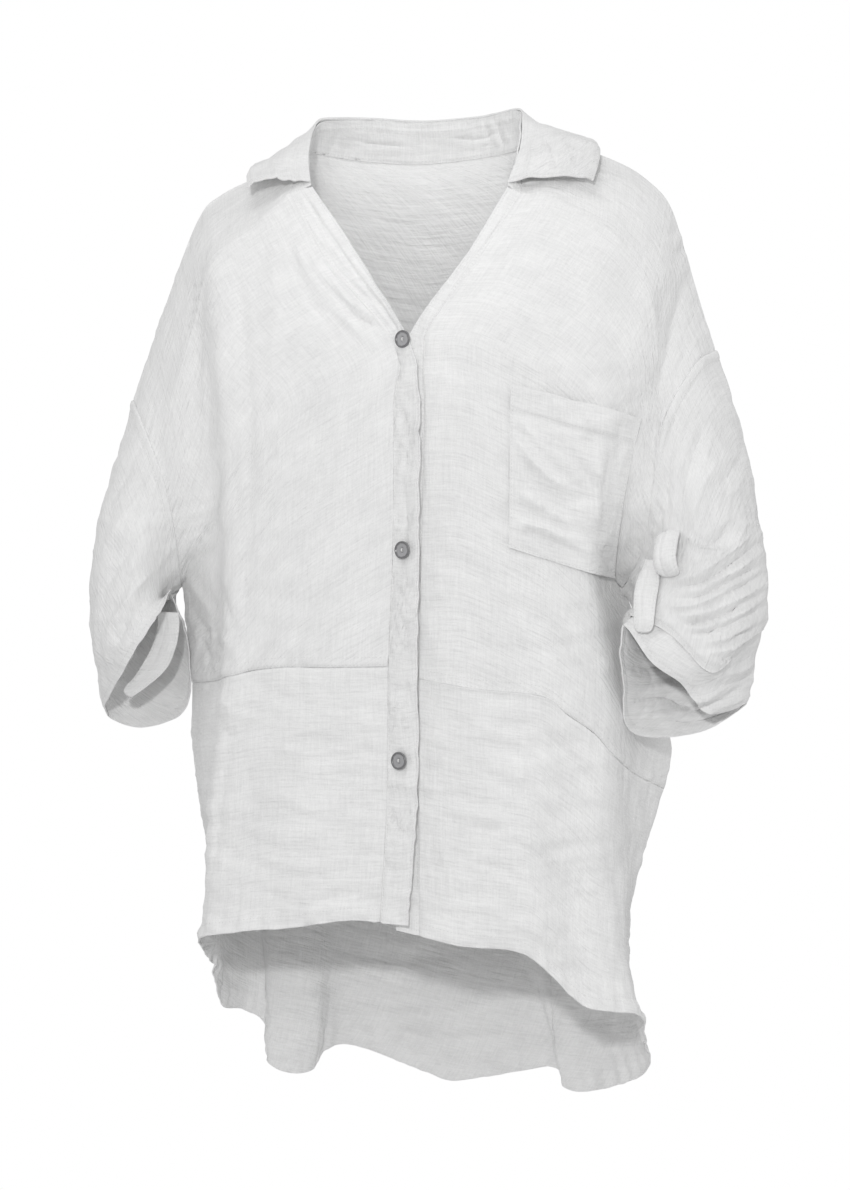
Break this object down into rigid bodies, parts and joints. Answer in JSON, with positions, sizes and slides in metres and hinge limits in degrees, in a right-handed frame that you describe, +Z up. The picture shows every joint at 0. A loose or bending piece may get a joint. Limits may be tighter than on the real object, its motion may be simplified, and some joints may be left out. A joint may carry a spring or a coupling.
{
  "type": "button-up shirt",
  "caption": "Loose button-up shirt, filled out as worn: open collar, dropped shoulders, rolled sleeves with tabs, chest pocket, high front hem and long back.",
  "frame": {"origin": "middle of the neck base, level with the shoulders that carry the shirt", "axes": "+Z up along the body, front faces -Y, +X to the wearer's left"},
  "size_m": [0.5772, 0.2384, 0.8497],
  "materials": {
    "linen": "matt plain-woven white linen",
    "shell": "pearly grey"
  },
  "bodies": {
    "root": {"front_right_upper": "linen", "front_left_upper": "linen", "front_right_lower": "linen", "front_left_lower": "linen", "back_upper": "linen", "back_lower": "linen", "band_right": "linen", "band_left": "linen", "collar_stand": "linen", "collar_leaf": "linen", "sleeve_right": "linen", "sleeve_left": "linen", "cuff_left": "linen", "pocket": "linen", "tab_right": "linen", "tab_left": "linen", "tab_loop": "linen", "button_1": "shell", "button_2": "shell", "button_3": "shell"}
  },
  "joints": []
}
